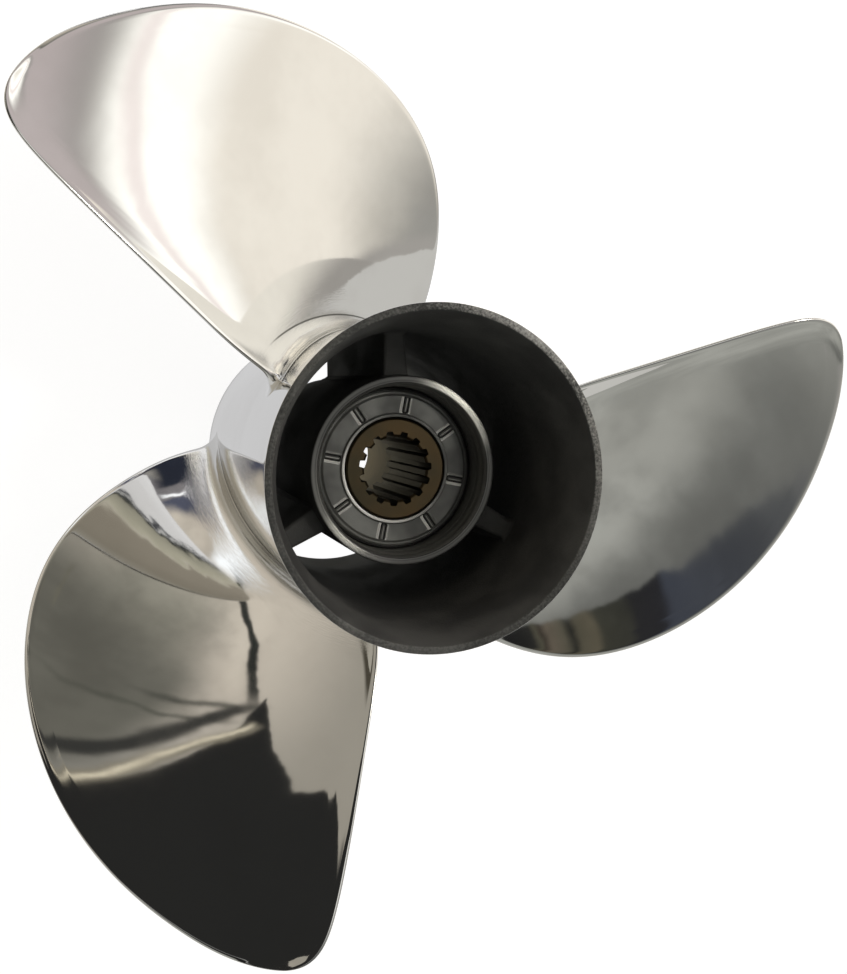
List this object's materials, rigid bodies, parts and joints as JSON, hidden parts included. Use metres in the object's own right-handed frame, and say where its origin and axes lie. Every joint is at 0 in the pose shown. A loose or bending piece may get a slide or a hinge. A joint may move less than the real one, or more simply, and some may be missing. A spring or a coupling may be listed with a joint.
{
  "type": "outboard boat propeller",
  "caption": "Right-hand boat propeller with broad raked blades on a flared exhaust barrel, and a webbed hub with a rubber bush and splined drive sleeve.",
  "frame": {"origin": "on the shaft line, at the centre of the solids' volume, 104.3 mm forward of the aft rim and 90.7 mm aft of the barrel's front end", "axes": "+Z along the shaft line, pointing aft, which is up as the propeller stands on its front end; seen from aft, +X points right and +Y up"},
  "size_m": [0.3466, 0.3755, 0.195],
  "materials": {
    "polished_steel": "mirror-polished stainless steel",
    "satin_steel": "machined satin",
    "cast_steel": "dark matt casting",
    "rubber": "matt black",
    "bronze": "dull brown bronze"
  },
  "bodies": {
    "root": {"barrel": "polished_steel", "blade_1": "polished_steel", "blade_2": "polished_steel", "blade_3": "polished_steel", "hub_tube": "satin_steel", "web_1": "cast_steel", "web_2": "cast_steel", "web_3": "cast_steel", "rubber_bush": "rubber", "retainer_plate": "satin_steel", "spline_sleeve": "bronze"}
  },
  "joints": []
}
